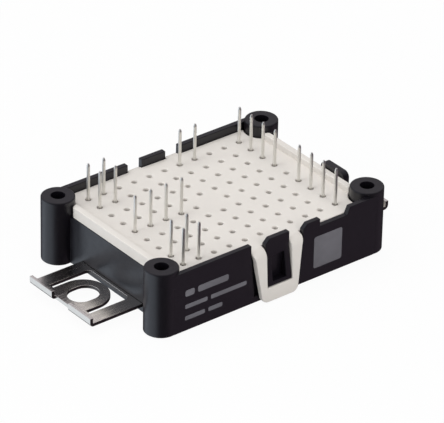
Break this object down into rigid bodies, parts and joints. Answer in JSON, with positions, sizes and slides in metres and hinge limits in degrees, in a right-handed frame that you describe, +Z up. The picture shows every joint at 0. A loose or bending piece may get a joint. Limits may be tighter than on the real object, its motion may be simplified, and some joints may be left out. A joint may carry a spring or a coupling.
{
  "type": "power transistor module",
  "caption": "Flat power transistor module: black frame with corner posts, ivory perforated lid with latch straps, straight contact pins and stamped screw clamps at both ends.",
  "frame": {"origin": "centre of the underside, on the face that lies on the heat sink", "axes": "+X along the module from clamp to clamp, -Y towards the latch side with the notched wall, +Z up along the pins"},
  "size_m": [0.0632, 0.0362, 0.0169],
  "materials": {
    "frame_plastic": "satin black",
    "lid_plastic": "ivory matt",
    "clamp_steel": "bright stamped sheet",
    "white_ceramic": "matt",
    "bare_copper": "bare copper",
    "sensor_body": "matt",
    "die_crystal": "polished",
    "wire_aluminium": "drawn",
    "sleeve_metal": "tin plated",
    "adhesive": "matt",
    "clear_gel": "clear soft fill",
    "pin_metal": "tin plated"
  },
  "bodies": {
    "root": {"housing_frame": "frame_plastic", "lid": "lid_plastic", "clamp_left": "clamp_steel", "clamp_right": "clamp_steel", "substrate_ceramic": "white_ceramic", "base_copper": "bare_copper", "copper_plus": "bare_copper", "copper_phase": "bare_copper", "copper_minus": "bare_copper", "signal_pads": "bare_copper", "sense_pads": "bare_copper", "sensor_chip": "sensor_body", "die_high_1": "die_crystal", "die_high_2": "die_crystal", "die_high_3": "die_crystal", "die_low_1": "die_crystal", "die_low_2": "die_crystal", "die_low_3": "die_crystal", "bond_wires_high": "wire_aluminium", "bond_wires_low": "wire_aluminium", "gate_wires": "wire_aluminium", "pin_sleeves": "sleeve_metal", "adhesive_bead": "adhesive", "silicone_gel": "clear_gel", "pin_01": "pin_metal", "pin_02": "pin_metal", "pin_03": "pin_metal", "pin_04": "pin_metal", "pin_05": "pin_metal", "pin_06": "pin_metal", "pin_07": "pin_metal", "pin_08": "pin_metal", "pin_09": "pin_metal", "pin_10": "pin_metal", "pin_11": "pin_metal", "pin_12": "pin_metal", "pin_13": "pin_metal", "pin_14": "pin_metal", "pin_15": "pin_metal", "pin_16": "pin_metal", "pin_17": "pin_metal", "pin_18": "pin_metal", "pin_19": "pin_metal", "pin_20": "pin_metal", "pin_21": "pin_metal", "pin_22": "pin_metal"}
  },
  "joints": []
}
